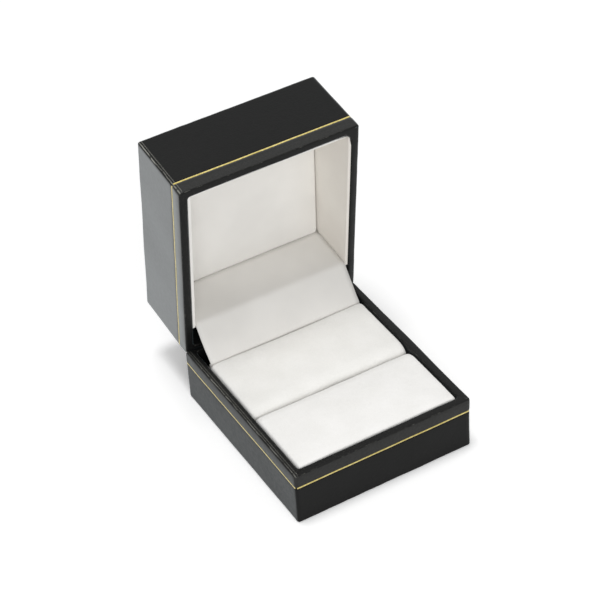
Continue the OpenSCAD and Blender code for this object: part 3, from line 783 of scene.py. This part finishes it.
def hinge_strip(white):
    """The flexible lining at the back: one sheet that starts between the rear pad and the
    base's card, crosses the hinge, pulled nearly straight while the lid stands open, bends
    over the lid's card and is glued to its front up to the ceiling."""
    off = lining_t + 0.01      # the route is the side that shows; the cards are behind it
    tucked_in = 3.0            # how far its foot goes down between pad and card
    top_z = base_h - 0.05
    lid_u, lid_v = lid_lining_y - axis.y, rim_gap / 2 + back_panel_drop
    foot = Vector((lining_y - off, top_z - tucked_in))
    edge = Vector((lining_y - off, top_z))
    lip = Vector(opened(lid_u - off, lid_v + 0.1))
    under_ceiling = Vector(opened(lid_u - off, ceiling_v - ceiling_lean + 0.5))
    route = [foot, foot.lerp(edge, 0.5)]
    bend(route, (foot, edge, lip), 1.0, 5)
    first = route[-1]
    bent = []
    bend(bent, (edge, lip, under_ceiling), 2.2, 6)
    run = (lip - edge).normalized()
    away = Vector((run.y, -run.x))
    bow = 0.18                 # how far its middle stands out
    steps = 12
    for k in range(1, steps):
        part = k / steps
        route.append(first.lerp(bent[0], part) + away * bow * math.sin(math.pi * part))
    route += bent
    last = route[-1]
    glued_steps = 7
    for k in range(1, glued_steps + 1):
        route.append(last.lerp(under_ceiling, k / glued_steps))
    bm = bmesh.new()
    bmesh.ops.create_grid(bm, x_segments=34, y_segments=len(route) - 1, size=1)
    for vert in bm.verts:
        row = round((vert.co.y + 1) / 2 * (len(route) - 1))
        across = vert.co.x
        y, z = route[row]
        free = math.sin(math.pi * min(1.0, max(0.0, (row - 4) / (steps + 6))))
        ripple = 0.10 * free * noise.noise(Vector((across * 3, y / 6, z / 6)))
        wander = 0.06 * noise.noise(Vector((z / 3, across * 5, 1.5))) if abs(across) > 0.99 else 0
        vert.co = Vector((across * strip_x + wander, y + ripple, z - ripple))
    bmesh.ops.recalc_face_normals(bm, faces=bm.faces)
    bmesh.ops.solidify(bm, geom=bm.faces[:], thickness=lining_t)
    bmesh.ops.recalc_face_normals(bm, faces=bm.faces)
    made = piece("hinge_lining", bm, white, None, ["hinge_strip"])
    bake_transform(made)


def base_card(white):
    """The card behind the rear pad, which holds the foot of the hinge's lining."""
    low, high = box_mm("base_back_panel")
    bm = slab((-strip_x, low.y, low.z), (strip_x, high.y, high.z - 0.3), 0.15, 3)
    piece("base_card", bm, white, "base", ["base_back_panel"])


# ------------------------------------------------------------------ the pads

def pad_form(low, high, slit_side):
    """A pad as cut, a little under size: square at the foot, with round corners and a rounder
    shoulder along the slit. slit_side is +1 where the slit is at the higher y."""
    bm = slab(low, high)
    slit_y = high[1] if slit_side > 0 else low[1]
    uprights = [e for e in bm.edges if is_upright(e)]
    inner = [e for e in uprights if abs(e.verts[0].co.y - slit_y) < 1e-3 or slit_side < 0]
    round_edges(bm, [e for e in uprights if e not in inner], 0.9, 6)
    round_edges(bm, inner, 0.8, 5)
    tops = [e for e in bm.edges if min(v.co.z for v in e.verts) > high[2] - 1e-4]
    round_edges(bm, tops, 0.75, 5)
    margin = 1.7               # clear of the rounded edges
    slice_across(bm, "x", spaced(low[0] + margin, high[0] - margin, 33))
    slice_across(bm, "y", spaced(low[1] + margin, high[1] - margin, 19))
    slice_across(bm, "z", spaced(low[2] + 1, high[2] - margin, 8))
    slit_drop, slit_reach = 1.3, 3.2     # how the top falls towards the slit
    edge_drop, edge_reach = 0.3, 1.8     # and towards its other edges
    half_x = (high[0] - low[0]) / 2
    length_y = high[1] - low[1]
    for vert in bm.verts:
        x, y, z = vert.co
        from_slit = abs(y - slit_y)
        from_edge = min(length_y - from_slit if slit_side > 0 else 9.0, half_x - abs(x))
        u = x / half_x
        w = from_slit / length_y
        height = min(1.0, max(0.0, (z - low[2]) / (high[2] - low[2]) * 1.6 - 0.6))
        rise = (1 - abs(u) ** 2.6) * (1 - abs(2 * w - 1) ** 2.4)
        vert.co.z += height * (pad_crown * rise
                               - slit_drop * max(0.0, 1 - from_slit / slit_reach) ** 2
                               - edge_drop * max(0.0, 1 - from_edge / edge_reach) ** 2)
        vert.co.x *= 1 - 0.008 * max(0.0, 1 - from_slit / 6) ** 2
    return bm


def even_mesh(bm, name, voxel):
    """The same form as an even mesh of small squares."""
    block = in_scene(name, as_mesh(name, bm))
    remesh = block.modifiers.new("even", "REMESH")
    remesh.mode = "VOXEL"
    remesh.voxel_size = voxel
    bpy.context.view_layer.update()
    graph = bpy.context.evaluated_depsgraph_get()
    even = bpy.data.meshes.new_from_object(block.evaluated_get(graph))
    bpy.data.objects.remove(block)
    return even


def swell(mesh, foot):
    """Lets the velour swell over its foam, as a cloth under pressure whose foot is held.
    Returns where each point goes. The mesh is ten times its real size in metres, because the
    cloth solver is made for things of that size."""
    block = in_scene("swelling", mesh)
    held = block.vertex_groups.new(name="held")
    held.add([v.index for v in mesh.vertices if v.co.z < foot], 1.0, "REPLACE")
    cloth = block.modifiers.new("cloth", "CLOTH")
    cloth.settings.quality = 6
    cloth.settings.use_pressure = True
    cloth.settings.uniform_pressure_force = 2.5
    cloth.settings.shrink_min = 0.03
    cloth.settings.bending_stiffness = 4.0
    cloth.settings.effector_weights.gravity = 0
    cloth.settings.vertex_group_mass = "held"
    for step in range(swell_steps):
        bpy.context.scene.frame_set(step + 1)
    graph = bpy.context.evaluated_depsgraph_get()
    settled = block.evaluated_get(graph).to_mesh()
    places = [v.co.copy() for v in settled.vertices]
    bpy.data.objects.remove(block)
    bpy.context.scene.frame_set(1)
    return places


def evened(mesh, moves, rounds):
    """The points' moves, each averaged with its neighbours' that many times: the foam is
    too stiff to follow a sharp fold."""
    beside = [[] for _ in mesh.vertices]
    for edge in mesh.edges:
        a, b = edge.vertices
        beside[a].append(b)
        beside[b].append(a)
    for _ in range(rounds):
        moves = [sum((moves[k] for k in near), moves[i]) / (len(near) + 1)
                 for i, near in enumerate(beside)]
    return moves


def velour_pad(name, node_name, core_name, slit_side, seed, material, foam):
    """One pad: velour stretched over foam. It swells in the middle, bears softly on the
    case's walls, and its nap makes its outline soft."""
    low, high = box_mm(node_name)
    wall_x = inside_x - 0.02   # the pads fill the case and nearly touch each other
    into_slit = 0.26           # the pads close the slit that the plain solids leave
    near_y = low.y - (0.15 if slit_side > 0 else into_slit)
    far_y = high.y + (into_slit if slit_side > 0 else -0.07)
    edge_z = base_h + 0.38     # above the rim
    bm = pad_form((-wall_x, near_y, low.z), (wall_x, far_y, edge_z), slit_side)
    bmesh.ops.scale(bm, vec=(SIM, SIM, SIM), verts=bm.verts)
    square = 0.55 * SIM
    even = even_mesh(bm, name + "_even", square)
    start = [v.co.copy() for v in even.vertices]
    held_below = (low.z + 1) * SIM
    places = swell(even, held_below)
    cap = 0.5 * SIM            # the foam holds the velour back more, the further it goes
    moves = []
    for was, place in zip(start, places):
        move = place - was
        moves.append(move * cap / (cap + move.length))
    moves = evened(even, moves, rounds=40)
    for vert, was, move in zip(even.vertices, start, moves):
        vert.co = was + move
    skin = bmesh.new()
    skin.from_mesh(even)
    bmesh.ops.scale(skin, vec=(1 / SIM, 1 / SIM, 1 / SIM), verts=skin.verts)
    bmesh.ops.subdivide_edges(skin, edges=skin.edges, cuts=1, use_grid_fill=True)
    for _ in range(3):
        bmesh.ops.smooth_vert(skin, verts=skin.verts, factor=0.5, use_axis_x=True,
                              use_axis_y=True, use_axis_z=True)
    skin.normal_update()
    fuzz = []
    for vert in skin.verts:
        spot = vert.co + Vector((seed, 0, 0))
        fuzz.append(vert.normal * (0.045 * noise.noise(spot / 0.45) + 0.10 * noise.noise(spot / 5)))
    for vert, move in zip(skin.verts, fuzz):
        vert.co += move
        vert.co.x = min(wall_x, max(-wall_x, vert.co.x))
        vert.co.y = min(far_y, max(near_y, vert.co.y))
        vert.co.z = max(low.z, vert.co.z)
    made = piece(name, skin, material, "base", [node_name])
    core_low, core_high = box_mm(core_name)
    core = slab(core_low, core_high, 0.5, 3)
    inner = piece(name + "_core", core, foam, "base", [core_name])


# ------------------------------------------------------------------ making the box

base_leatherette = leatherette_paper("black_leatherette_paper", 0.18, 0.15)
# The lid's copy of the same leatherette, glossier at a low angle and with more sheen: a painted
# brightening of the lid's sides, which catch more light.
lid_leatherette_lit = leatherette_paper("black_leatherette_lit_copy", 0.95, 0.34)
gold = gold_foil()
white_lining = lining_vinyl("white_leatherette_lining", "#f0eeea", "#e9e7e3")
# A warmer, slightly darker copy of the white lining for the right card: painted shade, tinted warm.
shaded_side_lining = lining_vinyl("white_leatherette_shaded_side", "#eeeae3", "#e7e2db")
# A little darker than the cards' lining.
hinge_vinyl = lining_vinyl("white_flexible_vinyl", "#e9e7e3", "#e2e0dc")
near_nap = velour("white_velour", "#f2f1ee", "#f9f8f6")
# The rear pad's darker copy of the same velour: painted shade.
shaded_nap = velour("white_velour_shaded_copy", "#e9e8e4", "#f1f0ed")
board = grey_board()
foam_block = cut_foam()
polystyrene = moulded_polystyrene()
flock = flock_paper()
plated = plated_strip("brass_plated_strip", "#d9cda0", "#a89a6c", 0.22, 0.38, True)
nickel = plated_strip("nickel_plated_rivet", "#d2d0ca", "#a8a59e", 0.2, 0.34, False)
spring = plated_strip("blued_spring_steel", "#7d8288", "#5d6168", 0.25, 0.4, False)

cover_half("base_covering", base_h, cam_room, turn_under, 3.7, base_leatherette, "base",
           "base_cover")
cover_half("lid_covering", lid_h, knuckle_room, None, 8.1, lid_leatherette_lit, "lid", "lid_cover")
gold_lines("base", base_h, 3.7, gold, "base", "base_gold_line")
gold_lines("lid", lid_h, 8.1, gold, "lid", "lid_gold_line")
lid_lining(white_lining, shaded_side_lining)
ceiling(white_lining, foam_block)
base_card(white_lining)
hinge_strip(hinge_vinyl)
velour_pad("front_pad", "front_roll", "front_foam", 1, 2.3, near_nap, foam_block)
velour_pad("rear_pad", "rear_roll", "rear_foam", -1, 5.9, shaded_nap, foam_block)

finishes = {
    "base_shell": polystyrene, "lid_shell": polystyrene, "bottom_sheet": flock,
    "pad_board": board, "ceiling_board": board,
    "hinge_base_leaf": plated, "hinge_lid_leaf": plated, "hinge_pin": nickel,
    "base_rivets": nickel, "lid_rivets": nickel, "snap_spring": spring,
}
for name, finish in finishes.items():
    mesh = frame["nodes"][name].data
    mesh.materials.clear()
    mesh.materials.append(finish)

# ------------------------------------------------------------------ floor, light and camera

def seen_plainly(add):
    """1 for the rays that see floor and room as plain white: those of the camera, of mirror
    reflections and through clear things. 0 for the rays that light the object."""
    rays = add("LightPath").outputs
    seen = add("Math", (rays["Is Camera Ray"], rays["Is Glossy Ray"]), operation="MAXIMUM")
    return add("Math", (seen, rays["Is Transmission Ray"]), operation="MAXIMUM")


def white_floor():
    """Matt white paper. Camera and mirror rays see it brightened to plain white, and the
    object's shadow stays on it."""
    material, add = new_material("matt_white_paper")
    camera_ray = add("LightPath").outputs["Is Camera Ray"]
    paper = add("Mix", (camera_ray, srgb("#ececec"), srgb("#ffffff")), data_type="RGBA")
    matt = add("BsdfDiffuse", {"Color": paper})
    glow = add("Emission", {"Color": srgb("#ffffff"), "Strength": 0.18})
    dark = add("Emission", {"Color": srgb("#000000"), "Strength": 0.0})
    lift = add("MixShader", (seen_plainly(add), dark, glow))
    add("OutputMaterial", (add("AddShader", (matt, lift)),))
    return material


def stage_floor():
    """The paper that the box stands on, six metres square."""
    bm = bmesh.new()
    bmesh.ops.create_grid(bm, x_segments=1, y_segments=1, size=3.0)
    floor = in_scene("floor", as_mesh("floor", bm))
    floor.data.materials.append(white_floor())


def room_light():
    """An even white room. Camera and mirror rays see it as plain white."""
    world = bpy.data.worlds.new("room")
    bpy.context.scene.world = world
    world.use_nodes = True
    world.node_tree.nodes.clear()
    add = partial(node, world.node_tree)
    strength = add("MapRange", (seen_plainly(add), 0.0, 1.0, 0.41, 1.0))
    glow = add("Background", {"Color": srgb("#ffffff"), "Strength": strength})
    add("OutputWorld", (glow,))


def soft_lamp(name, place, size, power):
    """A square white softbox at that place, in metres, aimed at the box."""
    lamp = bpy.data.lights.new(name, "AREA")
    lamp.shape = "SQUARE"
    lamp.size = size
    lamp.energy = power
    holder = in_scene(name, lamp)
    holder.location = place
    aim = Vector((0, 0.005, 0.025)) - Vector(place)
    holder.rotation_euler = aim.to_track_quat("-Z", "Y").to_euler()


def photograph_camera():
    """The camera where the photographer stood, with a slight roll."""
    azimuth, elevation, roll = (math.radians(a) for a in (-27.816, 39.476, -4.106))
    distance = 505.1 * MM
    target = Vector((-5.22, 0.166, 40.088)) * MM
    back = Vector((math.sin(azimuth) * math.cos(elevation),
                   -math.cos(azimuth) * math.cos(elevation), math.sin(elevation)))
    level = (-back).cross(Vector((0, 0, 1))).normalized()
    upright = level.cross(-back)
    right = level * math.cos(roll) + upright * math.sin(roll)
    up = upright * math.cos(roll) - level * math.sin(roll)
    lens = bpy.data.cameras.new("camera")
    lens.sensor_width = 36.0
    lens.lens = 130.77
    lens.clip_start = 0.01
    lens.clip_end = 20.0
    camera = in_scene("camera", lens)
    place = target + back * distance
    turned = Matrix((right, up, back)).transposed().to_4x4()
    camera.matrix_world = Matrix.Translation(place) @ turned
    bpy.context.scene.camera = camera


stage_floor()
room_light()
soft_lamp("top_softbox", (-0.11, 0.07, 1.6), 0.4, 9.8)
soft_lamp("front_softbox", (-0.65, -1.75, 0.95), 1.2, 17.0)
photograph_camera()
bpy.context.scene.view_settings.view_transform = "Standard"
